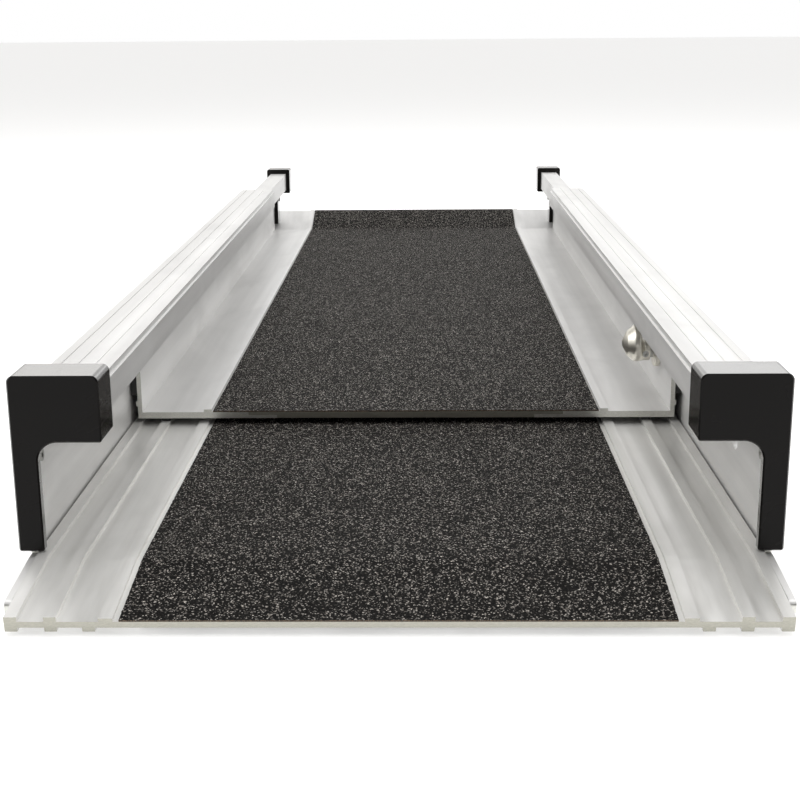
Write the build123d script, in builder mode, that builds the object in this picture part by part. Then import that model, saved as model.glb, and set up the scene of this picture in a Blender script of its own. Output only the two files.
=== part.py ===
# Telescopic dog ramp: an inner section slides lengthwise inside an outer one.
# Frame: X across, Y along the ramp from its low end to its high end, Z up.
# The origin is on the ground, under the middle of the outer section.
import os
from math import radians, tan

from build123d import *

os.makedirs("parts", exist_ok=True)

# ---------------------------------------------------------------- outer section sizes (mm)
outer_width = 392.0             # over the outer faces of the two webs
outer_length = 902.0            # faces of the front caps to the far end of the rails
floor_level = 14.3              # top face of the outer floor above the ground
outer_floor_thickness = 3.3
outer_web = 3.5
outer_wall_height = 89.4        # floor top face to the top of the flange
outer_flange = 36.0             # width of the flange
outer_flange_thickness = 3.0
outer_lip_drop = 19.9           # top of the flange to the bottom of its down-turned lip
outer_lip_thickness = 4.0
rebate_depth = 3.6              # step along the flange's inboard top corner
rebate_step = 1.5
ledge_thickness = 2.0           # ledge of the rail under the floor's edge
edge_slit = 1.5                 # between the floor's edge and the web
groove_width = 0.9              # fine grooves along the top of the flange
groove_depth = 0.6
groove_pitch = 9.8
groove_count = 3
outer_corner = 1.5              # rounding of the rail's top outer corner

# ---------------------------------------------------------------- floor ribs
rib_height = 2.5
under_rib_height = 2.2
edge_rib_width = 6.3
glide_rib_width = 6.2
glide_rib_inset = 19.0          # from the inner section's outer face to the glide rib's middle
under_rib_inset = 37.5
guide_rib_inset = 46.0
guide_rib_width = 7.0
guide_rib_height = 1.8

# ---------------------------------------------------------------- inner section sizes
side_gap = 5.0                  # between the two sections' webs
inner_setback = 247.0           # inner low end behind the front caps' faces, as shown
inner_length = 888.0            # low end to the crease of the landing lip
inner_floor_thickness = 4.4
inner_web = 3.0
inner_flange = 19.5
inner_flange_thickness = 3.0
inner_lip_drop = 21.0
flange_gap = 3.3                # outer flange's underside to the inner flange's top
running_gap = 0.3               # between every sliding block and what it runs on
glide_pad = 2.2                 # thickness of the pads under the inner floor
aisle_width = 52.5              # bare metal between the grit strip and the inner section's side
bead_width = 5.5
bead_height = 2.0
bead_gap = 0.8                  # grit strip's edge to the bead beside it
lap_inset = 25.0                # half-lap joint of the inner floor, inboard of the grit strip's edge
lap_width = 20.0
web_rib_level = 4.3             # small rib outside the inner web, above the inner floor
web_rib_height = 3.5
web_rib_rise = 1.0

# ---------------------------------------------------------------- bent lips
bend_radius = 20.0
ground_crease = 4.0             # ahead of the front caps' faces
ground_lip = 60.0
ground_tilt = 7.0
landing_lip = 60.0
landing_tilt = 16.0
stub_length = 47.0              # low foot of the outer web ahead of the caps
stub_height = 8.0
stub_drop = 5.0                 # fall of the stub's top edge
stub_nose = 3.0
rail_end_gap = 1.0              # rail's upper part to the bent lip beyond the crease

# ---------------------------------------------------------------- caps
cap_depth = 27.0
cap_face = 5.0                  # end wall of a cap
cap_wall = 5.0
cap_crown = 9.3                 # top wall of a front cap
cap_under = 6.5                 # below the flange's lip
cap_foot = 3.0                  # front cap's leg above the outer floor
cap_fit = 0.2
cap_corner = 3.8
cap_inner_corner = 10.5
cap_small_corner = 1.5
cap_edge = 0.8
rear_cap_depth = 24.0
rear_cap_face = 3.0
rear_cap_crown = 5.9
rear_cap_under = 4.0
rear_cap_corner = 2.5

# ---------------------------------------------------------------- travel and lock
closing_gap = 2.0               # inner low end to the front caps when closed
open_overlap = 155.0
stop_gap = 0.5
glide_length = 36.0
glide_setback = 1.5
glide_bottom = 12.0             # side glide's lower edge above the inner floor
stop_height = 24.0
end_setback = 2.0
lock_below_lip = 31.0           # lock axis under the outer lip's edge
lock_from_end = 56.0            # lock axis behind the inner low end
pin_radius = 6.0
pin_stem_radius = 4.0
pin_head = 4.0
pin_gap = 0.3                   # pin's end to the outer web while it rides between two holes
pin_hole_clearance = 0.3
pin_running_fit = 0.05
housing_flange_radius = 10.5
housing_flange = 4.0
housing_wall = 2.0
barrel_radius = 8.5
barrel_reach = 3.5              # barrel beyond the inner web
barrel_clearance = 0.1
nut_thickness = 3.0
nut_radius = 12.0
nut_clearance = 0.4
knob_gap = 3.0                  # knob's foot to the housing
knob_neck_radius = 7.7
knob_neck_length = 4.0
knob_neck_rise = 1.5
knob_head_radius = 13.2
knob_head_start = 8.5
knob_head_end = 11.5
knob_head_rise = 6.5            # head set above the pin's axis, so that fingertips get behind it
knob_rim = 16.5
knob_rim_radius = 8.7
knob_length = 19.6
knob_tip_radius = 2.0
knob_round = 2.5                # rounds on the head's two rims
knob_grip = 10.5                # length of pin stem inside the knob
set_screw_radius = 2.5
set_screw_place = 3.5
set_screw_length = 3.0
set_screw_socket = 1.3
housing_chamfer = 0.8
pin_chamfer = 0.6
spring_wire = 0.4
spring_radius = 5.2
spring_turns = 2.5

# ---------------------------------------------------------------- small pieces
tape_thickness = 0.9
screw_radius = 1.75
screw_head_radius = 3.4
screw_head = 1.9
drive_radius = 1.5              # hexagonal recess in a screw's head
drive_depth = 1.1
stop_screw_inset = 20.0
stop_screw_skin = 1.0           # plastic left between a stop screw's end and the inner web
glide_screw_bite = 3.5
glide_screw_drop = 9.0          # below the inner flange's underside
front_cap_screw_drop = 12.5     # below the underside of the cap's box
front_cap_screw_setback = 20.0  # behind the cap's front, so that the head shows past the leg
rear_cap_screw_drop = 8.7
cap_screw_bite = 3.0            # into the cap's outer wall
deck_screw_radius = 2.0
deck_screw_count = 6
deck_screw_margin = 60.0
deck_screw_bite = 6.5           # into the floor's edge rib
rivet_radius = 2.4
rivet_count = 8
rivet_margin = 45.0
floor_pad_count = 3             # rubber strips across the underside, the middle one at the origin
floor_pad_width = 26.0
floor_pad_side = 20.0           # inboard of the grit strip's edge
floor_pad_inset = 71.0          # outermost strips, from the rail's ends
floor_pad_corner = 4.0
lip_pad_width = 24.0
lip_pad_thickness = 2.6
lip_pad_margin = 8.0            # from the lip's edge
lip_pad_side = 10.0             # inboard of the grit strip's edge
lip_pad_corner = 0.8
support_length = 38.0

# ---------------------------------------------------------------- places worked out from the sizes
outer_half = outer_width / 2
outer_web_face = outer_half - outer_web
inner_half = outer_web_face - side_gap
inner_web_face = inner_half - inner_web
tape_half = inner_half - aisle_width
front = -outer_length / 2
far = outer_length / 2
rail_front = front + cap_face
floor_underside = floor_level - outer_floor_thickness
ledge_top = floor_underside - under_rib_height
ledge_bottom = ledge_top - ledge_thickness
edge_rib_outer = outer_web_face - edge_slit
edge_rib_x = edge_rib_outer - edge_rib_width / 2
glide_rib_x = inner_half - glide_rib_inset
outer_top = floor_level + outer_wall_height
outer_flange_underside = outer_top - outer_flange_thickness
outer_flange_edge = outer_half - outer_flange
outer_lip_face = outer_flange_edge - rebate_step
outer_lip_bottom = outer_top - outer_lip_drop

inner_underside = floor_level + rib_height + running_gap + glide_pad
inner_level = inner_underside + inner_floor_thickness
inner_top = outer_flange_underside - flange_gap
inner_lip_face = inner_half - inner_flange
inner_lip_bottom = inner_top - inner_lip_drop
inner_front = front + inner_setback
landing_crease = inner_front + inner_length
lap_outer = tape_half - lap_inset
lap_inner = lap_outer - lap_width

rear_cap_front = landing_crease
rear_cap_back = landing_crease + rear_cap_depth
rear_leg_bottom = inner_level + rear_cap_depth * tan(radians(landing_tilt)) + rail_end_gap
rear_rail_bottom = rear_leg_bottom + cap_wall / 2
rear_rail_end = rear_cap_back - rear_cap_face
front_cap_leg = outer_web_face - cap_wall
front_screw_y = front + front_cap_screw_setback
front_screw_z = outer_lip_bottom - cap_under - front_cap_screw_drop
rear_cap_leg = inner_web_face - cap_wall
rear_screw_y = rear_cap_front + rear_cap_depth / 2
rear_screw_z = inner_lip_bottom - rear_cap_under - rear_cap_screw_drop

travel_closed = -(inner_setback - cap_depth - closing_gap)
travel_open = outer_length - open_overlap - inner_setback
lock_travels = (travel_closed, (travel_closed + travel_open) / 2, travel_open)
lock_y = inner_front + lock_from_end
lock_z = outer_lip_bottom - lock_below_lip
pin_tip = outer_web_face - pin_gap
housing_face = inner_web_face - housing_flange
barrel_end = inner_half + barrel_reach
pin_shoulder = pin_tip - pin_head
knob_foot = housing_face - knob_gap
side_glide_rear = inner_front + glide_setback + glide_length
stop_front = side_glide_rear + travel_open + stop_gap
stop_bottom = outer_flange_underside - flange_gap - stop_height
stop_screw_z = stop_bottom + stop_height / 2
glide_screw_y = inner_front + glide_setback + glide_length / 2
glide_screw_z = inner_top - inner_flange_thickness - glide_screw_drop
rib_top = floor_level + rib_height

# ---------------------------------------------------------------- shared helpers


def across(y):
    """Plane across the ramp at y, with local x across and local y up."""
    return Plane.XZ.offset(-y)


def bent_path(start_y, crease_y, level, tilt, lip):
    """Side line of a floor: flat from start_y to the crease, then on along the tilted lip."""
    tangent = bend_radius * tan(radians(tilt / 2))
    flat_end = crease_y - tangent if crease_y > start_y else crease_y + tangent
    with BuildLine(Plane.YZ) as path:
        flat = Line((start_y, level), (flat_end, level))
        bend = JernArc(flat @ 1, flat % 1, bend_radius, tilt)
        PolarLine(bend @ 1, lip, direction=bend % 1)
    return path.wires()[0]


def lip_underside(path, from_edge, depth):
    """Plane under a bent lip, facing down, from_edge short of its edge and depth under its top."""
    away = path % 1
    down = Vector(0, away.Z, -away.Y) if away.Y > 0 else Vector(0, -away.Z, away.Y)
    return Plane(origin=(path @ 1) - away * from_edge + down * depth, x_dir=(1, 0, 0), z_dir=down)


def outline(points):
    """Closed face through the points, in the open sketch."""
    with BuildLine() as border:
        Polyline(*points, close=True)
    make_face(border.edges())


def round_corners(sketch, corners):
    """Round the sketch's corner nearest to each place by its radius."""
    for place, radius in corners:
        fillet(sketch.vertices().sort_by_distance((*place, 0))[0], radius)


def inboard(side, x, y, z):
    """Plane on a web or leg at x on one side of the ramp, its normal pointing inboard."""
    return Plane(origin=(side * x, y, z), x_dir=(0, 1, 0), z_dir=(-side, 0, 0))


def outboard(side, x, y, z):
    """The same plane with its normal pointing outboard."""
    return Plane(origin=(side * x, y, z), x_dir=(0, 1, 0), z_dir=(side, 0, 0))


def facing_down(x, y, z):
    """Level plane whose normal points down."""
    return Plane(origin=(x, y, z), x_dir=(1, 0, 0), z_dir=(0, 0, -1))


def finish(piece, name):
    """Label a finished piece and write it to its file."""
    piece.label = name
    export_step(piece, "parts/" + name + ".step")


def fasteners(planes, shank_radius, shank_length, head_radius, head, name):
    """Headed fasteners, one solid on each plane, with their shanks against the plane's normal."""
    with BuildPart() as group:
        with Locations(*planes):
            Cylinder(shank_radius, shank_length, align=(Align.CENTER, Align.CENTER, Align.MAX))
            Cylinder(head_radius, head, align=(Align.CENTER, Align.CENTER, Align.MIN))
        for plane in planes:
            with BuildSketch(plane.offset(head)):
                RegularPolygon(drive_radius, 6)
            extrude(amount=-drive_depth, mode=Mode.SUBTRACT)
    finish(group.part, name)


def both_sides(places):
    """Each (side, x, y, z) place on the left and on the right."""
    return [(side, *place) for side in (-1, 1) for place in places]


ground_path = bent_path(far, front - ground_crease, floor_level, ground_tilt, ground_lip)
landing_path = bent_path(inner_front, landing_crease, inner_level, landing_tilt, landing_lip)
deck_screw_span = 2 * (far - deck_screw_margin) / (deck_screw_count - 1)
deck_screw_places = [
    (side * edge_rib_x, number * deck_screw_span - far + deck_screw_margin)
    for side in (-1, 1) for number in range(deck_screw_count)
]
rivet_span = (inner_length - 2 * rivet_margin) / (rivet_count - 1)
rivet_places = [
    (side * (lap_outer - lap_width / 2), inner_front + rivet_margin + number * rivet_span)
    for side in (-1, 1) for number in range(rivet_count)
]
stop_screw_places = [(outer_half, y, stop_screw_z) for y in (stop_front + stop_screw_inset,
                                                            far - end_setback - stop_screw_inset)]

# ================================================================ OUTER SECTION
# Floor panel: a ribbed extrusion whose low end is bent down to meet the ground.
# Each rib: middle across, width, height above and height below the plate.
floor_ribs = [
    (edge_rib_x, edge_rib_width, rib_height, under_rib_height),
    (glide_rib_x, glide_rib_width, rib_height, under_rib_height),
    (inner_half - under_rib_inset, edge_rib_width, 0.0, under_rib_height),
    (inner_half - guide_rib_inset, guide_rib_width, guide_rib_height, 0.0),
]
with BuildPart() as outer_deck:
    with BuildSketch(across(far)):
        with Locations((0, floor_level)):
            Rectangle(2 * edge_rib_outer, outer_floor_thickness, align=(Align.CENTER, Align.MAX))
        for middle, width, above, below in floor_ribs:
            with Locations((-middle, floor_level + above), (middle, floor_level + above)):
                Rectangle(width, above + outer_floor_thickness + below, align=(Align.CENTER, Align.MAX))
    sweep(path=ground_path)
    with Locations(*[facing_down(x, y, ledge_top) for x, y in deck_screw_places]):
        Hole(deck_screw_radius, deck_screw_bite)
finish(outer_deck.part, "outer_deck")

# Side rails: web with a ledge under the floor's edge, inboard flange and down-turned lip.
outer_rail_points = [
    (edge_rib_outer - edge_rib_width, ledge_bottom),
    (outer_half, ledge_bottom),
    (outer_half, outer_top),
    (outer_flange_edge, outer_top),
    (outer_flange_edge, outer_top - rebate_depth),
    (outer_lip_face, outer_top - rebate_depth),
    (outer_lip_face, outer_lip_bottom),
    (outer_lip_face + outer_lip_thickness, outer_lip_bottom),
    (outer_lip_face + outer_lip_thickness, outer_flange_underside),
    (outer_web_face, outer_flange_underside),
    (outer_web_face, ledge_top),
    (edge_rib_outer - edge_rib_width, ledge_top),
]
with BuildPart() as outer_rail:
    with BuildSketch(across(far)) as rail_section:
        outline(outer_rail_points)
        round_corners(rail_section, [((outer_half, outer_top), outer_corner)])
        for number in range(1, groove_count + 1):
            with Locations((outer_flange_edge + number * groove_pitch, outer_top)):
                Rectangle(groove_width, 2 * groove_depth, mode=Mode.SUBTRACT)
    extrude(amount=far - rail_front)
    # Low foot of the web, running on ahead of the cap beside the bent lip.
    with BuildSketch(Plane.YZ.offset(outer_web_face)) as foot_section:
        outline([
            (rail_front, ledge_bottom),
            (rail_front, floor_level),
            (front, floor_level),
            (front - stub_length, floor_level - stub_drop),
            (front - stub_length, floor_level - stub_drop - stub_height),
            (front, ledge_bottom),
        ])
        round_corners(foot_section, [
            ((front - stub_length, floor_level - stub_drop), stub_nose),
            ((front - stub_length, floor_level - stub_drop - stub_height), stub_nose),
        ])
    extrude(amount=outer_web)
    with Locations(inboard(1, outer_web_face, front_screw_y, front_screw_z)):
        Hole(screw_radius, outer_web)
    with Locations(*[inboard(1, outer_web_face, y, z) for x, y, z in stop_screw_places]):
        Hole(screw_radius, outer_web)
    with Locations(*[facing_down(x, y, ledge_bottom) for x, y in deck_screw_places if x > 0]):
        Hole(deck_screw_radius, ledge_thickness)

with BuildPart() as outer_left_rail:
    mirror(outer_rail.part, about=Plane.YZ)
finish(outer_left_rail.part, "outer_left_rail")

# The right rail alone has the lock holes: closed, half open and fully open.
with BuildPart() as outer_right_rail:
    add(outer_rail.part)
    with Locations(*[inboard(1, outer_web_face, lock_y + travel, lock_z) for travel in lock_travels]):
        Hole(pin_radius + pin_hole_clearance, outer_web)
finish(outer_right_rail.part, "outer_right_rail")

fasteners([facing_down(x, y, ledge_bottom) for x, y in deck_screw_places],
          deck_screw_radius, ledge_thickness + deck_screw_bite, screw_head_radius, screw_head,
          "outer_deck_screws")

# Grit strip glued to the floor, over the bend and down to the lip's edge.
with BuildPart() as outer_grip_tape:
    with BuildSketch(across(far)):
        with Locations((0, floor_level)):
            Rectangle(2 * tape_half, tape_thickness, align=(Align.CENTER, Align.MIN))
    sweep(path=ground_path)
finish(outer_grip_tape.part, "outer_grip_tape")

# End caps: moulded blocks pushed over the rails' ends, with a box over the flange and a leg. The leg
# is only the end wall and the outer wall, so the web shows right behind it and takes the screw's head.
cap_box = outer_lip_face - cap_wall
cap_box_bottom = outer_lip_bottom - cap_under
cap_outer = outer_half + cap_wall
cap_top = outer_top + cap_crown
cap_leg_bottom = floor_level + cap_foot
with BuildPart() as front_right_cap:
    with BuildSketch(across(front)) as cap_section:
        outline([
            (cap_box, cap_top), (cap_outer, cap_top), (cap_outer, cap_leg_bottom),
            (front_cap_leg, cap_leg_bottom), (front_cap_leg, cap_box_bottom), (cap_box, cap_box_bottom),
        ])
        round_corners(cap_section, [
            ((cap_box, cap_top), cap_corner),
            ((cap_outer, cap_top), cap_corner),
            ((front_cap_leg, cap_box_bottom), cap_inner_corner),
            ((cap_box, cap_box_bottom), cap_small_corner),
            ((cap_outer, cap_leg_bottom), cap_small_corner),
            ((front_cap_leg, cap_leg_bottom), cap_small_corner),
        ])
    extrude(amount=-cap_depth)
    chamfer(front_right_cap.faces().sort_by(Axis.Y)[0].edges(), cap_edge)
    # Socket that takes the rail's end.
    with BuildSketch(across(rail_front)):
        outline(outer_rail_points)
        offset(amount=cap_fit, kind=Kind.INTERSECTION)
    extrude(amount=-cap_depth, mode=Mode.SUBTRACT)
    with BuildSketch(across(rail_front)):
        outline([
            (cap_box, cap_box_bottom), (outer_web_face, cap_box_bottom),
            (outer_web_face, cap_leg_bottom), (cap_box, cap_leg_bottom),
        ])
    extrude(amount=-cap_depth, mode=Mode.SUBTRACT)
    with Locations(inboard(1, outer_web_face, front_screw_y, front_screw_z)):
        Hole(screw_radius, outer_web + cap_screw_bite)
finish(front_right_cap.part, "front_right_cap")

with BuildPart() as front_left_cap:
    mirror(front_right_cap.part, about=Plane.YZ)
finish(front_left_cap.part, "front_left_cap")

fasteners([inboard(side, outer_web_face, front_screw_y, front_screw_z) for side in (-1, 1)],
          screw_radius, outer_web + cap_screw_bite, screw_head_radius, screw_head,
          "front_cap_screws")

# Guide and stop blocks inside the far end of the outer rails.
stop_thickness = side_gap - running_gap
with BuildPart() as travel_stops:
    for side in (-1, 1):
        with Locations((side * outer_web_face, stop_front, stop_bottom)):
            Box(stop_thickness, far - end_setback - stop_front, stop_height,
                align=(Align.MIN if side < 0 else Align.MAX, Align.MIN, Align.MIN))
    inner_ends = [(outer_web_face, y, z) for x, y, z in stop_screw_places]
    with Locations(*[outboard(*place) for place in both_sides(inner_ends)]):
        Hole(screw_radius, stop_thickness - stop_screw_skin)
finish(travel_stops.part, "travel_stops")

fasteners([outboard(*place) for place in both_sides(stop_screw_places)],
          screw_radius, outer_web + stop_thickness - stop_screw_skin, screw_head_radius, screw_head,
          "travel_stop_screws")

# Slippery strips on the glide ribs at the far end, which carry the inner floor.
with BuildPart() as support_strips:
    with Locations((-glide_rib_x, far - end_setback, rib_top), (glide_rib_x, far - end_setback, rib_top)):
        Box(glide_rib_width, support_length, glide_pad, align=(Align.CENTER, Align.MAX, Align.MIN))
finish(support_strips.part, "support_strips")

# Rubber strip under the ground lip and rubber strips across the floor's underside.
with BuildPart() as ground_pad:
    with BuildSketch(lip_underside(ground_path, lip_pad_margin, outer_floor_thickness)):
        Rectangle(2 * (tape_half - lip_pad_side), lip_pad_width, align=(Align.CENTER, Align.MAX))
    extrude(amount=lip_pad_thickness)
    fillet(ground_pad.edges().filter_by(Axis.X).group_by(Axis.Z)[0], lip_pad_corner)
finish(ground_pad.part, "ground_pad")

floor_pad_spacing = 2 * (far - floor_pad_inset) / (floor_pad_count - 1)
with BuildPart() as floor_pads:
    with BuildSketch():
        with GridLocations(0, floor_pad_spacing, 1, floor_pad_count):
            RectangleRounded(2 * (tape_half - floor_pad_side), floor_pad_width, floor_pad_corner)
    extrude(amount=floor_underside)
finish(floor_pads.part, "floor_pads")

# ================================================================ INNER SECTION
# Middle panel: a plain plate, half-lapped on to the side extrusions, its far end bent up.
lap_depth = inner_floor_thickness / 2
lap_seat = inner_floor_thickness - lap_depth
with BuildPart() as inner_centre_panel:
    with BuildSketch(across(inner_front)):
        with Locations((0, inner_level)):
            Rectangle(2 * lap_inner, inner_floor_thickness, align=(Align.CENTER, Align.MAX))
            Rectangle(2 * lap_outer, lap_depth, align=(Align.CENTER, Align.MAX))
    sweep(path=landing_path)
    with Locations(*[Plane(origin=(x, y, inner_level)) for x, y in rivet_places]):
        Hole(rivet_radius, lap_depth)
finish(inner_centre_panel.part, "inner_centre_panel")

# Side extrusions: floor strip with a lap and a bead, sharp-cornered web, flange and lip.
inner_wall_points = [
    (inner_half - inner_web, inner_level - inner_web),
    (inner_half, inner_level - inner_web),
    (inner_half, inner_level + web_rib_level),
    (inner_half + web_rib_rise, inner_level + web_rib_level),
    (inner_half + web_rib_rise, inner_level + web_rib_level + web_rib_height),
    (inner_half, inner_level + web_rib_level + web_rib_height),
    (inner_half, inner_top),
    (inner_lip_face, inner_top),
    (inner_lip_face, inner_lip_bottom),
    (inner_lip_face + inner_flange_thickness, inner_lip_bottom),
    (inner_lip_face + inner_flange_thickness, inner_top - inner_flange_thickness),
    (inner_half - inner_web, inner_top - inner_flange_thickness),
]
# The same wall beyond the crease, where its foot is cut away over the bent lip.
rear_wall_points = [
    (inner_half - inner_web, rear_rail_bottom),
    (inner_half, rear_rail_bottom),
    *inner_wall_points[6:],
]
with BuildPart() as inner_rail:
    with BuildSketch(across(inner_front)):
        with Locations((lap_outer, inner_level)):
            Rectangle(inner_half - lap_outer, inner_floor_thickness, align=(Align.MIN, Align.MAX))
        with Locations((lap_inner, inner_underside)):
            Rectangle(inner_half - lap_inner, lap_seat, align=(Align.MIN, Align.MIN))
        with Locations((tape_half + bead_gap, inner_level)):
            Rectangle(bead_width, bead_height, align=(Align.MIN, Align.MIN))
    sweep(path=landing_path)
    with BuildSketch(across(inner_front)):
        outline(inner_wall_points)
    extrude(amount=-inner_length)
    with BuildSketch(across(landing_crease)):
        outline(rear_wall_points)
    extrude(amount=-(rear_rail_end - landing_crease))
    with Locations(*[facing_down(x, y, inner_underside) for x, y in rivet_places if x > 0]):
        Hole(rivet_radius, lap_seat)
    with Locations(inboard(1, inner_web_face, rear_screw_y, rear_screw_z)):
        Hole(screw_radius, inner_web)
    with Locations(inboard(1, inner_web_face, glide_screw_y, glide_screw_z)):
        Hole(screw_radius, inner_web)

with BuildPart() as inner_left_rail:
    mirror(inner_rail.part, about=Plane.YZ)
finish(inner_left_rail.part, "inner_left_rail")

with BuildPart() as inner_right_rail:
    add(inner_rail.part)
    with Locations(inboard(1, inner_web_face, lock_y, lock_z)):
        Hole(barrel_radius + barrel_clearance, inner_web)
    # Spot face on the web's small rib, where it comes near the plunger's nut.
    with Locations(outboard(1, inner_half, lock_y, lock_z)):
        Cylinder(nut_radius + nut_clearance, web_rib_rise, mode=Mode.SUBTRACT,
                 align=(Align.CENTER, Align.CENTER, Align.MIN))
finish(inner_right_rail.part, "inner_right_rail")

# Flush rivets through the half laps, under the grit strip.
with BuildPart() as inner_panel_rivets:
    with Locations(*[(x, y, inner_underside) for x, y in rivet_places]):
        Cylinder(rivet_radius, inner_floor_thickness, align=(Align.CENTER, Align.CENTER, Align.MIN))
finish(inner_panel_rivets.part, "inner_panel_rivets")

with BuildPart() as inner_grip_tape:
    with BuildSketch(across(inner_front)):
        with Locations((0, inner_level)):
            Rectangle(2 * tape_half, tape_thickness, align=(Align.CENTER, Align.MIN))
    sweep(path=landing_path)
finish(inner_grip_tape.part, "inner_grip_tape")

# Rear end caps, a thinner version of the front ones.
rear_cap_box = inner_lip_face - cap_wall
rear_cap_box_bottom = inner_lip_bottom - rear_cap_under
rear_cap_outer = inner_half + cap_wall
rear_cap_top = inner_top + rear_cap_crown
with BuildPart() as rear_right_cap:
    with BuildSketch(across(rear_cap_back)) as cap_section:
        outline([
            (rear_cap_box, rear_cap_top), (rear_cap_outer, rear_cap_top), (rear_cap_outer, rear_leg_bottom),
            (rear_cap_leg, rear_leg_bottom), (rear_cap_leg, rear_cap_box_bottom),
            (rear_cap_box, rear_cap_box_bottom),
        ])
        round_corners(cap_section, [
            ((rear_cap_box, rear_cap_top), rear_cap_corner),
            ((rear_cap_outer, rear_cap_top), rear_cap_corner),
            ((rear_cap_leg, rear_cap_box_bottom), rear_cap_corner),
            ((rear_cap_box, rear_cap_box_bottom), cap_small_corner),
            ((rear_cap_outer, rear_leg_bottom), cap_small_corner),
            ((rear_cap_leg, rear_leg_bottom), cap_small_corner),
        ])
    extrude(amount=rear_cap_depth)
    chamfer(rear_right_cap.faces().sort_by(Axis.Y)[-1].edges(), cap_edge)
    with BuildSketch(across(rear_rail_end)):
        outline(rear_wall_points)
        offset(amount=cap_fit, kind=Kind.INTERSECTION)
    extrude(amount=rear_cap_depth, mode=Mode.SUBTRACT)
    with Locations(inboard(1, rear_cap_leg, rear_screw_y, rear_screw_z)):
        Hole(screw_radius, cap_wall + inner_web + cap_screw_bite)
finish(rear_right_cap.part, "rear_right_cap")

with BuildPart() as rear_left_cap:
    mirror(rear_right_cap.part, about=Plane.YZ)
finish(rear_left_cap.part, "rear_left_cap")

fasteners([inboard(side, rear_cap_leg, rear_screw_y, rear_screw_z) for side in (-1, 1)],
          screw_radius, cap_wall + inner_web + cap_screw_bite, screw_head_radius, screw_head,
          "rear_cap_screws")

# Glide blocks at the low end: between the webs and over the inner flange.
glide_face = outer_web_face - running_gap
glide_start = inner_front + glide_setback
with BuildPart() as right_glide:
    with BuildSketch(across(glide_start)):
        outline([
            (inner_half, inner_level + glide_bottom),
            (glide_face, inner_level + glide_bottom),
            (glide_face, outer_flange_underside - running_gap),
            (inner_lip_face, outer_flange_underside - running_gap),
            (inner_lip_face, inner_top),
            (inner_half, inner_top),
        ])
    extrude(amount=-glide_length)
    with Locations(inboard(1, inner_half, glide_screw_y, glide_screw_z)):
        Hole(screw_radius, glide_screw_bite)

with BuildPart() as side_glides:
    add(right_glide.part)
    mirror(right_glide.part, about=Plane.YZ)
finish(side_glides.part, "side_glides")

fasteners([inboard(side, inner_web_face, glide_screw_y, glide_screw_z) for side in (-1, 1)],
          screw_radius, inner_web + glide_screw_bite, screw_head_radius, screw_head, "glide_screws")

# Pads under the inner floor's low end, which run on the outer floor's glide ribs.
with BuildPart() as floor_glides:
    with Locations(*[(side * glide_rib_x, glide_start, inner_underside) for side in (-1, 1)]):
        Box(glide_rib_width, glide_length, glide_pad, align=(Align.CENTER, Align.MIN, Align.MAX))
finish(floor_glides.part, "floor_glides")

# Rubber strip under the landing lip, which rests on the sill.
with BuildPart() as sill_pad:
    with BuildSketch(lip_underside(landing_path, lip_pad_margin, inner_floor_thickness)):
        Rectangle(2 * (tape_half - lip_pad_side), lip_pad_width, align=(Align.CENTER, Align.MIN))
    extrude(amount=lip_pad_thickness)
finish(sill_pad.part, "sill_pad")

# ================================================================ LOCK
# Spring-loaded pin through the right inner web; everything turns on one axis across the ramp.


def lock_plane(x):
    """Plane across the lock's axis at x, facing outboard, with local y up."""
    return Plane(origin=(x, lock_y, lock_z), x_dir=(0, 1, 0), z_dir=(1, 0, 0))


with BuildPart() as plunger_housing:
    with Locations(lock_plane(housing_face)):
        Cylinder(housing_flange_radius, housing_flange, align=(Align.CENTER, Align.CENTER, Align.MIN))
        Cylinder(barrel_radius, barrel_end - housing_face, align=(Align.CENTER, Align.CENTER, Align.MIN))
    chamfer(plunger_housing.edges().group_by(Axis.X)[0].sort_by(SortBy.RADIUS)[-1:], housing_chamfer)
    with Locations(lock_plane(barrel_end)):
        Hole(pin_radius + pin_running_fit, barrel_end - housing_face - housing_wall)
        Hole(pin_stem_radius + pin_running_fit, barrel_end - housing_face)
finish(plunger_housing.part, "plunger_housing")

with BuildPart() as plunger_nut:
    with BuildSketch(lock_plane(inner_half)):
        RegularPolygon(nut_radius, 6)
        Circle(barrel_radius + barrel_clearance, mode=Mode.SUBTRACT)
    extrude(amount=nut_thickness)
finish(plunger_nut.part, "plunger_nut")

with BuildPart() as lock_pin:
    with Locations(lock_plane(pin_tip)):
        Cylinder(pin_radius, pin_head, align=(Align.CENTER, Align.CENTER, Align.MAX))
    with Locations(lock_plane(pin_shoulder)):
        Cylinder(pin_stem_radius, pin_shoulder - knob_foot + knob_grip,
                 align=(Align.CENTER, Align.CENTER, Align.MAX))
    chamfer(lock_pin.edges().group_by(Axis.X)[-1], pin_chamfer)
finish(lock_pin.part, "lock_pin")

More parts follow.
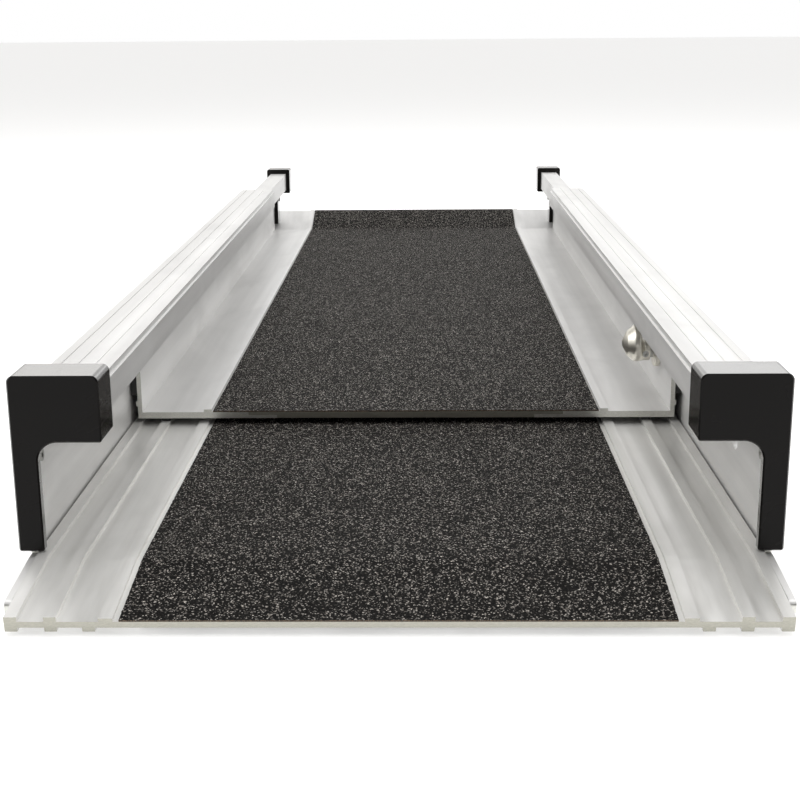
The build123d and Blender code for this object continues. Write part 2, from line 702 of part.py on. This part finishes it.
# Finger knob: a neck that swells into a head set a little above the pin's axis.
knob_sections = [
    (0.0, knob_neck_radius, knob_neck_rise),
    (knob_neck_length, knob_neck_radius, knob_neck_rise),
    (knob_head_start, knob_head_radius, knob_head_rise),
    (knob_head_end, knob_head_radius, knob_head_rise),
]
set_screw_axis = (knob_foot - set_screw_place, lock_y, lock_z)
set_screw_plane = Plane(origin=set_screw_axis, x_dir=(1, 0, 0), z_dir=(0, -1, 0))
with BuildPart() as lock_knob:
    for place, radius, rise in knob_sections:
        with BuildSketch(lock_plane(knob_foot - place)):
            with Locations((0, rise)):
                Circle(radius)
    loft()
    with BuildSketch(lock_plane(knob_foot - knob_head_end)):
        with Locations((0, knob_head_rise)):
            Circle(knob_head_radius)
    with BuildSketch(lock_plane(knob_foot - knob_rim)):
        with Locations((0, knob_head_rise)):
            Circle(knob_rim_radius)
    loft()
    with BuildSketch(lock_plane(knob_foot - knob_rim)):
        with Locations((0, knob_head_rise)):
            Circle(knob_rim_radius)
    with BuildSketch(lock_plane(knob_foot - knob_length)):
        with Locations((0, knob_head_rise)):
            Circle(knob_tip_radius)
    loft()
    for place in (knob_head_end, knob_rim):
        rim = lock_knob.edges().filter_by_position(Axis.X, knob_foot - place - 0.1, knob_foot - place + 0.1)
        fillet(rim, knob_round)
    with Locations(lock_plane(knob_foot)):
        Hole(pin_stem_radius, knob_grip)
    with Locations(set_screw_plane.offset(knob_head_radius)):
        Hole(set_screw_radius, knob_head_radius)
finish(lock_knob.part, "lock_knob")

with BuildPart() as knob_set_screw:
    with Locations(set_screw_plane.offset(pin_stem_radius)):
        Cylinder(set_screw_radius, set_screw_length, align=(Align.CENTER, Align.CENTER, Align.MIN))
    with BuildSketch(set_screw_plane.offset(pin_stem_radius + set_screw_length)):
        RegularPolygon(set_screw_socket, 6)
    extrude(amount=-set_screw_length / 2, mode=Mode.SUBTRACT)
finish(knob_set_screw.part, "knob_set_screw")

# Coil between the housing's end wall and the pin's shoulder.
spring_start = housing_face + housing_wall + spring_wire
spring_end = pin_shoulder - spring_wire
with BuildPart() as plunger_spring:
    with BuildLine() as coil:
        Helix((spring_end - spring_start) / spring_turns, spring_end - spring_start, spring_radius,
              center=(spring_start, lock_y, lock_z), direction=(1, 0, 0))
    with BuildSketch(Plane(origin=coil.edges()[0] @ 0, z_dir=coil.edges()[0] % 0)):
        Circle(spring_wire)
    sweep(path=coil.edges()[0], is_frenet=True)
finish(plunger_spring.part, "plunger_spring")
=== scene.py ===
# Telescopic dog ramp: the finishes, the fine edges and the grit of its pieces, in metres.
# X across, Y along the ramp from its low end to its high end, Z up, the ground at 0.
from math import cos, pi, radians, sin, tan

import bmesh
import bpy
from mathutils import Matrix, Vector, noise


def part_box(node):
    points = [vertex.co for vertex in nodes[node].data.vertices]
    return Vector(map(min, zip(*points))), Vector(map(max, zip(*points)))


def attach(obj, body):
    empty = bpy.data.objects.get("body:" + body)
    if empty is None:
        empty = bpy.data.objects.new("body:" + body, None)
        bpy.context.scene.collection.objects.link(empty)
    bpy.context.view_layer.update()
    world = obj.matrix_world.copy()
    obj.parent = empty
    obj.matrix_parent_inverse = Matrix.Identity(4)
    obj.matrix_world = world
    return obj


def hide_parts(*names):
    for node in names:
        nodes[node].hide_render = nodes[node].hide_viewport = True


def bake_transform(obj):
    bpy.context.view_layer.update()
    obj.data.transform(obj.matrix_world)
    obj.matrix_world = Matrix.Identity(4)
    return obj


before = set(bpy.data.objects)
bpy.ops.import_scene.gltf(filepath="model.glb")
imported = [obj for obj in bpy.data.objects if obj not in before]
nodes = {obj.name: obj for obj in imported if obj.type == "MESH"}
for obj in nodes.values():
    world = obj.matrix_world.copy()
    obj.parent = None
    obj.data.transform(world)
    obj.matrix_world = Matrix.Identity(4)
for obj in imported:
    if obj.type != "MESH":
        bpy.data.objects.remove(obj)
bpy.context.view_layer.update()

# ---------------------------------------------------------------- outer rails
# The two long side extrusions, in mill-finished aluminium. The die leaves fine lines along
# them, handling leaves soft smudges, and the saw leaves their ends matt.
weld = 2e-6
coplanar = radians(0.5)
sharp_angle = radians(28)
end_normal = 0.9            # a face that looks along the ramp is a sawn end
rail_edge = 0.00022
smooth_limit = radians(50)
mill_metallic = 0.55        # the rest scatters, as a dull extruded skin does
die_line_depth = 0.000012
saw_mark_scale = (700, 300, 2600)
saw_mark_depth = 0.00006


def place(tree, kind, inputs=None, **settings):
    """Add a shader node. An input is a plain value, or a socket that is linked to it."""
    made = tree.nodes.new("ShaderNode" + kind)
    for key, value in settings.items():
        setattr(made, key, value)
    for key, value in (inputs or {}).items():
        if isinstance(value, bpy.types.NodeSocket):
            tree.links.new(value, made.inputs[key])
        else:
            made.inputs[key].default_value = value
    return made


def ramp(tree, value, *stops):
    """Colour ramp over the value: each stop is a place and a grey or a colour."""
    made = place(tree, "ValToRGB", {"Fac": value})
    band = made.color_ramp
    for number, (at, shade) in enumerate(stops):
        stop = band.elements[number] if number < 2 else band.elements.new(at)
        stop.position = at
        stop.color = (*shade, 1) if isinstance(shade, tuple) else (shade, shade, shade, 1)
    return made.outputs["Color"]


def spread(tree, value, low, high):
    """The value, from 0 to 1, spread between low and high."""
    return place(tree, "MapRange", {"Value": value, "To Min": low, "To Max": high}).outputs["Result"]


def stretched(tree, scale):
    """Object coordinates, scaled along each axis."""
    spot = place(tree, "TexCoord").outputs["Object"]
    return place(tree, "Mapping", {"Vector": spot, "Scale": scale}).outputs["Vector"]


def new_group(name, outputs, inputs=()):
    """A shader node group with named value inputs and outputs."""
    tree = bpy.data.node_groups.new(name, "ShaderNodeTree")
    for socket, value in inputs:
        made = tree.interface.new_socket(socket, in_out="INPUT", socket_type="NodeSocketFloat")
        made.default_value = value
    for socket in outputs:
        tree.interface.new_socket(socket, in_out="OUTPUT", socket_type="NodeSocketFloat")
    return tree, tree.nodes.new("NodeGroupInput"), tree.nodes.new("NodeGroupOutput")


def use_group(tree, group, **values):
    """Put a node group in a material, with its values for that material."""
    made = place(tree, "Group", node_tree=group)
    for key, value in values.items():
        made.inputs[key].default_value = value
    return made


def new_material(name, metallic=0.0):
    """A material and its surface shader."""
    made = bpy.data.materials.new(name)
    made.use_nodes = True
    surface = made.node_tree.nodes["Principled BSDF"]
    surface.inputs["Metallic"].default_value = metallic
    return made, made.node_tree, surface


def relief(tree, surface, height, depth, strength=1.0):
    """Feed a height to the surface's normal; depth is the height of its peaks."""
    bump = place(tree, "Bump", {"Height": height, "Strength": strength, "Distance": depth})
    tree.links.new(bump.outputs["Normal"], surface.inputs["Normal"])


# Lines drawn along an extrusion by its die: fine ones, and broad soft streaks.
die_pitches = (("Fine Pitch", 900.0), ("Broad Pitch", 55.0))
die_lines, die_in, die_out = new_group("die_lines", ("Fine", "Broad"), die_pitches)
fine_pitch = die_in.outputs["Fine Pitch"]
broad_pitch = die_in.outputs["Broad Pitch"]
fine_scale = place(die_lines, "CombineXYZ", {"X": fine_pitch, "Y": 2.2, "Z": fine_pitch})
broad_scale = place(die_lines, "CombineXYZ", {"X": broad_pitch, "Y": 1.1, "Z": broad_pitch})
for scale, detail, socket in ((fine_scale, 2.0, "Fine"), (broad_scale, 4.0, "Broad")):
    spot = place(die_lines, "TexCoord").outputs["Object"]
    along = place(die_lines, "Mapping", {"Vector": spot, "Scale": scale.outputs["Vector"]})
    lines = place(die_lines, "TexNoise", {"Vector": along.outputs["Vector"], "Scale": 1.0, "Detail": detail,
                                          "Roughness": 0.55})
    contrast = place(die_lines, "MapRange", {"Value": lines.outputs["Fac"], "From Min": 0.3, "From Max": 0.7})
    die_lines.links.new(contrast.outputs["Result"], die_out.inputs[socket])

# Soft marks left by hands and cloths.
smudges, smudge_in, smudge_out = new_group("smudges", ("Mask",), (("Size", 14.0),))
cloud = place(smudges, "TexNoise", {"Vector": stretched(smudges, (1.0, 0.45, 1.0)), "Detail": 3.0,
                                    "Scale": smudge_in.outputs["Size"], "Roughness": 0.6,
                                    "Distortion": 0.6})
mark = place(smudges, "MapRange", {"Value": cloud.outputs["Fac"], "From Min": 0.42, "From Max": 0.68},
             interpolation_type="SMOOTHSTEP")
smudges.links.new(mark.outputs["Result"], smudge_out.inputs["Mask"])


def mill_aluminium(name, dark, light, smooth, dull):
    """Extruded aluminium between two tones and two roughnesses, with the die's lines along Y."""
    made, tree, surface = new_material(name, metallic=mill_metallic)
    lines = use_group(tree, die_lines)
    marks = use_group(tree, smudges)
    tone = ramp(tree, lines.outputs["Broad"], (0.0, dark), (1.0, light))
    smudged = place(tree, "Mix", {"Factor": spread(tree, marks.outputs["Mask"], 0.0, 0.35), "A": tone,
                                  "B": (*[0.86 * shade for shade in dark], 1)}, data_type="RGBA")
    tree.links.new(smudged.outputs["Result"], surface.inputs["Base Color"])
    blend = place(tree, "Math", {0: lines.outputs["Broad"], 1: marks.outputs["Mask"]}, operation="MAXIMUM")
    tree.links.new(spread(tree, blend.outputs["Value"], smooth, dull), surface.inputs["Roughness"])
    relief(tree, surface, lines.outputs["Fine"], die_line_depth, 0.6)
    return made


def sawn_aluminium(name, tone):
    """A saw's cut through aluminium: pale and matt, with fine marks across it."""
    made, tree, surface = new_material(name, metallic=1.0)
    dark = tuple(0.8 * shade for shade in tone)
    spot = stretched(tree, saw_mark_scale)
    marks = place(tree, "TexNoise", {"Vector": spot, "Scale": 1.0, "Detail": 3.0})
    tree.links.new(ramp(tree, marks.outputs["Fac"], (0.25, dark), (0.7, tone)), surface.inputs["Base Color"])
    tree.links.new(spread(tree, marks.outputs["Fac"], 0.26, 0.42), surface.inputs["Roughness"])
    relief(tree, surface, marks.outputs["Fac"], saw_mark_depth)
    return made


def put_in_scene(name, mesh, body, materials):
    """Make a finished mesh a piece that rides on a body, or on none when no body is given."""
    for material in materials:
        mesh.materials.append(material)
    piece = bpy.data.objects.new(name, mesh)
    bpy.context.scene.collection.objects.link(piece)
    if body:
        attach(piece, body)
    return piece


def soften(piece):
    """Shade bevels round and flat faces flat."""
    for face in piece.data.polygons:
        face.use_smooth = True
    piece.data.set_sharp_from_angle(angle=smooth_limit)
    weighted = piece.modifiers.new("weighted_normals", "WEIGHTED_NORMAL")
    weighted.keep_sharp = True
    return piece


def eased(node, edge, body, materials, sawn=False, segments=2):
    """The node's shape with its sharp edges eased by a small round, in place of the node."""
    shape = bmesh.new()
    shape.from_mesh(nodes[node].data)
    bmesh.ops.remove_doubles(shape, verts=shape.verts, dist=weld)
    bmesh.ops.dissolve_limit(shape, angle_limit=coplanar, verts=shape.verts, edges=shape.edges)
    if sawn:
        for face in shape.faces:
            face.material_index = 1 if abs(face.normal.y) > end_normal else 0
    sharp = [line for line in shape.edges if line.is_manifold and line.calc_face_angle() > sharp_angle]
    bmesh.ops.bevel(shape, geom=sharp, offset=edge, affect="EDGES", segments=segments, profile=0.5,
                    material=-1, clamp_overlap=True)
    mesh = bpy.data.meshes.new(node + "_eased")
    shape.to_mesh(mesh)
    shape.free()
    piece = put_in_scene(node + "_eased", mesh, body, materials)
    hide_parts(node)
    return soften(piece)


rail_finish = mill_aluminium("rail_aluminium", (0.76, 0.757, 0.75), (0.93, 0.927, 0.92), 0.38, 0.52)
sawn_finish = sawn_aluminium("sawn_aluminium", (0.84, 0.84, 0.79))
# Painted shade: a darker copy of the sawn finish for the floors' cut ends, in place of the shade they fall in.
shaded_cut_finish = sawn_aluminium("painted_shade_cut_aluminium", (0.5, 0.49, 0.43))
for side in ("left", "right"):
    eased(f"outer_{side}_rail", rail_edge, "outer_section",
          (rail_finish, sawn_finish), sawn=True)

# ---------------------------------------------------------------- outer floor
# Ribbed floor extrusion, its low end bent down to meet the ground and cut off square.
floor_edge = 0.0003
deck_finish = mill_aluminium("floor_aluminium", (0.68, 0.675, 0.65), (0.94, 0.935, 0.92), 0.34, 0.52)
# Its cut ends take the darker copy of the sawn finish, which is painted shade.
eased("outer_deck", floor_edge, "outer_section",
      (deck_finish, shaded_cut_finish), sawn=True)

# ---------------------------------------------------------------- inner section
# Plain middle panel with its far end bent up, between two sharp-cornered side extrusions.
# Its cut ends take the darker copy of the sawn finish, which is painted shade.
eased("inner_centre_panel", floor_edge, "inner_section",
      (deck_finish, shaded_cut_finish), sawn=True)
for side in ("left", "right"):
    eased(f"inner_{side}_rail", rail_edge, "inner_section",
          (rail_finish, sawn_finish), sawn=True)

# ---------------------------------------------------------------- grit strips
# Mineral grit bonded to a brown backing, glued along each floor and over its bend. Its long
# edges are cut through the grains, so they are a little ragged.
grit_step = 0.002
grit_rag = 0.0003
rag_pitch = 700
grit_rise = 0.00012
rise_pitch = 450
grain_scale = 1650.0
clump_scale = 1150.0
grain_depth = 0.0002
strip_thickness = 0.0009
bend_radius = 0.02
lip_length = 0.06
outer_crease = -0.455
outer_tilt = -7
inner_crease = 0.684
inner_tilt = 16


def grit_surface():
    """Dark mineral grains, with painted sparkle: a few grains and clumps coloured bright in place of glints of
    light.
    """
    made, tree, surface = new_material("mineral_grit")
    spot = place(tree, "TexCoord").outputs["Object"]
    grains = place(tree, "TexVoronoi", {"Vector": spot, "Scale": grain_scale, "Randomness": 1.0})
    clumps = place(tree, "TexVoronoi", {"Vector": spot, "Scale": clump_scale, "Randomness": 1.0})
    facet = place(tree, "SeparateColor", {"Color": grains.outputs["Color"]}).outputs["Red"]
    clump = place(tree, "SeparateColor", {"Color": clumps.outputs["Color"]}).outputs["Green"]
    # The bright top of this ramp is painted sparkle: a few grains coloured light in place of glints.
    fine = ramp(tree, facet, (0.0, (0.002, 0.0017, 0.0015)), (0.72, (0.006, 0.005, 0.0043)),
                (0.89, (0.03, 0.026, 0.023)), (1.0, (0.8, 0.75, 0.69)))
    coarse = ramp(tree, clump, (0.0, 0.35), (0.72, 0.7), (1.0, 1.0))
    shade = place(tree, "Mix", {"Factor": 1.0, "A": fine, "B": coarse}, data_type="RGBA",
                  blend_type="MULTIPLY")
    # Painted glint: a bright colour added to a few clumps in place of sparkle from the light.
    painted_glint = ramp(tree, clump, (0.0, (0.0, 0.0, 0.0)), (0.9, (0.0, 0.0, 0.0)), (0.95, (0.07, 0.063, 0.056)),
                 (1.0, (0.3, 0.275, 0.25)))
    tone = place(tree, "Mix", {"Factor": 1.0, "A": shade.outputs["Result"], "B": painted_glint}, data_type="RGBA",
                 blend_type="ADD")
    tree.links.new(tone.outputs["Result"], surface.inputs["Base Color"])
    tree.links.new(ramp(tree, facet, (0.0, 0.85), (0.85, 0.7), (1.0, 0.3)), surface.inputs["Roughness"])
    surface.inputs["Specular IOR Level"].default_value = 0.12
    heights = place(tree, "Math", {0: grains.outputs["Distance"], 1: clumps.outputs["Distance"]},
                    operation="ADD")
    relief(tree, surface, heights.outputs["Value"], grain_depth, 0.8)
    return made


def backing_surface():
    """The strip's cut edge: brown backing with grains in it."""
    made, tree, surface = new_material("grit_backing")
    spot = place(tree, "TexCoord").outputs["Object"]
    specks = place(tree, "TexNoise", {"Vector": spot, "Scale": 1400.0, "Detail": 2.0})
    tree.links.new(ramp(tree, specks.outputs["Fac"], (0.35, (0.03, 0.022, 0.016)), (0.7, (0.2, 0.14, 0.09))),
                   surface.inputs["Base Color"])
    tree.links.new(spread(tree, specks.outputs["Fac"], 0.6, 0.85), surface.inputs["Roughness"])
    return made


def grit_strip(node, body, start, crease, level, tilt):
    """Strip along the floor from start over the bend at the crease, then along the tilted lip."""
    low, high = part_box(node)
    width = high.x - low.x
    way = 1 if crease > start else -1
    turn = radians(abs(tilt))
    flat = abs(crease - start) - bend_radius * tan(turn / 2)
    length = flat + bend_radius * turn + lip_length
    shape = bmesh.new()
    bmesh.ops.create_grid(shape, x_segments=round(width / grit_step),
                          y_segments=round(length / grit_step), size=0.5)
    bmesh.ops.scale(shape, verts=shape.verts, vec=(width, length, 1))
    bmesh.ops.translate(shape, verts=shape.verts, vec=(0, length / 2, 0))
    for point in shape.verts:
        across, run = point.co.xy
        angle = min(max(run - flat, 0) / bend_radius, turn)
        beyond = max(run - flat - bend_radius * turn, 0)
        ahead = min(run, flat) + bend_radius * sin(angle) + beyond * cos(angle)
        rise = bend_radius * (1 - cos(angle)) + beyond * sin(angle)
        if abs(across) > width / 2 - grit_step / 2:
            across += grit_rag * noise.noise(Vector((across, rag_pitch * run, 0)))
        point.co = (across, start + way * ahead, level + (rise if tilt > 0 else -rise))
    if way < 0:
        bmesh.ops.reverse_faces(shape, faces=shape.faces)
    underside = set(shape.verts)
    bmesh.ops.solidify(shape, geom=shape.faces[:], thickness=-strip_thickness)
    bmesh.ops.recalc_face_normals(shape, faces=shape.faces)
    for point in shape.verts:
        if point not in underside:
            point.co.z += grit_rise * noise.noise(rise_pitch * point.co)
    for face in shape.faces:
        face.material_index = 1 if abs(face.normal.z) < 0.5 else 0
        face.smooth = True
    mesh = bpy.data.meshes.new(node + "_grit")
    shape.to_mesh(mesh)
    shape.free()
    mesh.set_sharp_from_angle(angle=radians(60))
    piece = put_in_scene(node + "_grit", mesh, body, (grit_finish, backing_finish))
    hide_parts(node)


grit_finish = grit_surface()
backing_finish = backing_surface()
outer_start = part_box("outer_grip_tape")[1].y
inner_start, inner_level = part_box("inner_grip_tape")[0].yz
outer_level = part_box("outer_grip_tape")[1].z - strip_thickness
grit_strip("outer_grip_tape", "outer_section", outer_start, outer_crease, outer_level, outer_tilt)
grit_strip("inner_grip_tape", "inner_section", inner_start, inner_crease, inner_level, inner_tilt)

# ---------------------------------------------------------------- end caps
# Moulded black nylon blocks pushed over the rails' ends, with a fine moulded grain.
cap_edge = 0.0008
mould_grain_depth = 0.00004


def moulded(name, tone, roughness, grain):
    """Moulded plastic or rubber: a dark tone, a fine grain and soft marks from handling."""
    made, tree, surface = new_material(name)
    spot = place(tree, "TexCoord").outputs["Object"]
    fine = place(tree, "TexNoise", {"Vector": spot, "Scale": grain, "Detail": 3.0})
    marks = use_group(tree, smudges, Size=30.0)
    worn = tuple(1.35 * shade for shade in tone)
    tree.links.new(ramp(tree, marks.outputs["Mask"], (0.0, tone), (1.0, worn)), surface.inputs["Base Color"])
    tree.links.new(spread(tree, marks.outputs["Mask"], roughness, roughness + 0.12),
                   surface.inputs["Roughness"])
    relief(tree, surface, fine.outputs["Fac"], mould_grain_depth, 0.5)
    return made


cap_finish = moulded("black_nylon", (0.005, 0.0042, 0.0038), 0.22, 2600)

# A glossy skin that shows only where the surface turns away from the viewer.
cap_tree = cap_finish.node_tree
cap_surface = cap_tree.nodes["Principled BSDF"]
facing = place(cap_tree, "LayerWeight", {"Blend": 0.5}).outputs["Facing"]
skin = place(cap_tree, "MapRange", {"Value": facing, "From Min": 0.3, "From Max": 0.62})
cap_tree.links.new(skin.outputs["Result"], cap_surface.inputs["Coat Weight"])
cap_surface.inputs["Coat Roughness"].default_value = 0.14
cap_surface.inputs["Coat IOR"].default_value = 1.8
cap_surface.inputs["Specular IOR Level"].default_value = 0.14
for section, body in (("front", "outer_section"), ("rear", "inner_section")):
    for side in ("left", "right"):
        eased(f"{section}_{side}_cap", cap_edge, body, (cap_finish,), segments=3)

# ---------------------------------------------------------------- guides and pads
# Black polymer guides between the sections, and rubber strips where the ramp rests.
guide_finish = moulded("guide_polymer", (0.02, 0.02, 0.02), 0.42, 1800)
rubber_finish = moulded("black_rubber", (0.024, 0.024, 0.025), 0.66, 900)


def dress(finish, *names):
    """Give CAD nodes their finish."""
    for name in names:
        nodes[name].data.materials.clear()
        nodes[name].data.materials.append(finish)


dress(guide_finish, "travel_stops", "support_strips", "side_glides", "floor_glides")
dress(rubber_finish, "floor_pads", "ground_pad", "sill_pad")

# ---------------------------------------------------------------- screws, rivets and spring
# Zinc-plated screws and lock parts, a little tarnished, and rivets as pale as the sawn ends.
metal_grain_depth = 0.00002


def turned_steel(name, tone, roughness, pitch):
    """Turned or plated metal with a fine grain and a little tarnish."""
    made, tree, surface = new_material(name, metallic=1.0)
    spot = place(tree, "TexCoord").outputs["Object"]
    grain = place(tree, "TexNoise", {"Vector": spot, "Scale": pitch, "Detail": 3.0})
    tarnish = place(tree, "TexNoise", {"Vector": spot, "Scale": 160.0, "Detail": 3.0})
    dull = tuple(0.7 * shade for shade in tone)
    tree.links.new(ramp(tree, tarnish.outputs["Fac"], (0.3, dull), (0.65, tone)), surface.inputs["Base Color"])
    tree.links.new(spread(tree, tarnish.outputs["Fac"], roughness + 0.12, roughness - 0.06),
                   surface.inputs["Roughness"])
    relief(tree, surface, grain.outputs["Fac"], metal_grain_depth, 0.5)
    return made


steel_finish = turned_steel("zinc_plated_steel", (0.62, 0.62, 0.6), 0.34, 2200)
dress(steel_finish, "front_cap_screws", "outer_deck_screws", "travel_stop_screws", "rear_cap_screws",
      "glide_screws", "plunger_nut", "lock_pin", "knob_set_screw")
dress(sawn_finish, "inner_panel_rivets")

# The plunger's spring stands on the housing; in the real lock it shortens as the pin is pulled, and here it
# rides on no body, its placement baked into its mesh.
spring_edge = 0.00004
spring = eased("plunger_spring", spring_edge, None, (steel_finish,))
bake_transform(spring)

# ---------------------------------------------------------------- lock knob
# Satin nickel finger knob on its threaded housing, both rounded by tumbling.
knob_edge = 0.0002
nickel_finish = turned_steel("satin_nickel", (0.95, 0.92, 0.83), 0.3, 1500)
for node, body in (("lock_knob", "lock"), ("plunger_housing", "inner_section")):
    eased(node, knob_edge, body, (nickel_finish,))

# ---------------------------------------------------------------- studio
# Plain pale floor, a soft light overhead, one at each side, and a surround that the metal reflects.
floor_size = 60.0
floor_glow = 0.35
shape = bmesh.new()
bmesh.ops.create_grid(shape, x_segments=1, y_segments=1, size=floor_size / 2)
floor_mesh = bpy.data.meshes.new("studio_floor")
shape.to_mesh(floor_mesh)
shape.free()
floor = bpy.data.objects.new("studio_floor", floor_mesh)
bpy.context.scene.collection.objects.link(floor)
floor_finish, floor_tree, floor_surface = new_material("pale_floor")
floor_surface.inputs["Base Color"].default_value = (0.9, 0.9, 0.9, 1)
floor_surface.inputs["Roughness"].default_value = 0.8
floor_surface.inputs["Emission Color"].default_value = (1, 1, 1, 1)
floor_surface.inputs["Emission Strength"].default_value = floor_glow
floor_mesh.materials.append(floor_finish)

# Surround: a bright low softbox behind the ramp, an even ceiling and a dim side towards the viewer.
surround_strength = 2.1
world = bpy.data.worlds.new("studio")
world.use_nodes = True
sky = world.node_tree
towards = place(sky, "SeparateXYZ", {"Vector": place(sky, "TexCoord").outputs["Generated"]})
height = ramp(sky, towards.outputs["Z"], (0.0, 0.37), (0.2, 0.42), (0.235, 1.0), (0.3, 1.0),
              (0.335, 0.32), (0.7, 0.26), (1.0, 0.36))
behind = place(sky, "MapRange", {"Value": towards.outputs["Y"], "From Min": -0.35, "From Max": 0.45,
                                 "To Min": 0.1, "To Max": 1.0}, interpolation_type="SMOOTHSTEP")
ceiling = place(sky, "MapRange", {"Value": towards.outputs["Z"], "From Min": 0.3, "From Max": 0.75,
                                  "To Min": 0.0, "To Max": 1.0}, interpolation_type="SMOOTHSTEP")
share = place(sky, "Mix", {"Factor": ceiling.outputs["Result"], "A": behind.outputs["Result"], "B": 1.0})
warmth = place(sky, "MapRange", {"Value": towards.outputs["X"], "From Min": -0.6, "From Max": 0.6})
tint = ramp(sky, warmth.outputs["Result"], (0.0, (0.9, 0.88, 0.85)), (1.0, (1.0, 1.0, 1.0)))
lit = place(sky, "Mix", {"Factor": 1.0, "A": height, "B": tint}, data_type="RGBA", blend_type="MULTIPLY")
strength = place(sky, "Math", {0: share.outputs["Result"], 1: surround_strength},
                 operation="MULTIPLY")
softbox = sky.nodes["Background"]
sky.links.new(lit.outputs["Result"], softbox.inputs["Color"])
sky.links.new(strength.outputs["Value"], softbox.inputs["Strength"])
backdrop = place(sky, "Background", {"Color": (1, 1, 1, 1), "Strength": 1.0})
seen = place(sky, "MixShader", {0: place(sky, "LightPath").outputs["Is Camera Ray"]})
sky.links.new(softbox.outputs["Background"], seen.inputs[1])
sky.links.new(backdrop.outputs["Background"], seen.inputs[2])
sky.links.new(seen.outputs["Shader"], sky.nodes["World Output"].inputs["Surface"])
bpy.context.scene.world = world


def soft_light(name, place_at, target, size, power, tint=(1, 1, 1)):
    """A square soft light that faces its target."""
    light = bpy.data.lights.new(name, "AREA")
    light.shape = "RECTANGLE"
    light.size, light.size_y = size
    light.energy = power
    light.color = tint
    lamp = bpy.data.objects.new(name, light)
    lamp.location = place_at
    lamp.rotation_euler = (Vector(target) - Vector(place_at)).to_track_quat("-Z", "Y").to_euler()
    bpy.context.scene.collection.objects.link(lamp)


soft_light("overhead", (0, 0.3, 2.2), (0, 0.1, 0), (2.4, 2.4), 30)
soft_light("left_fill", (-1.9, -0.1, 1.05), (0, 0.05, 0.03), (1.6, 1.6), 12)
soft_light("right_fill", (1.9, -0.1, 1.05), (0, 0.05, 0.03), (1.6, 1.6), 10, (1.0, 0.975, 0.93))

# ---------------------------------------------------------------- camera
# At the low end, a little above the rails and looking down along the ramp.
view_pitch = 0.2568
view_yaw = -0.01807
view_roll = -0.0079
view_focal = 61.47
view_sensor = 36
view_shift = -0.0186
view_place = (0.0130, -1.1233, 0.2843)
camera = bpy.data.objects.new("camera", bpy.data.cameras.new("camera"))
camera.data.lens = view_focal
camera.data.sensor_width = view_sensor
camera.data.shift_y = view_shift
camera.matrix_world = (Matrix.Translation(view_place) @ Matrix.Rotation(-view_yaw, 4, "Z")
                       @ Matrix.Rotation(pi / 2 - view_pitch, 4, "X") @ Matrix.Rotation(view_roll, 4, "Z"))
bpy.context.scene.collection.objects.link(camera)
bpy.context.scene.camera = camera
bpy.context.scene.view_settings.view_transform = "Standard"
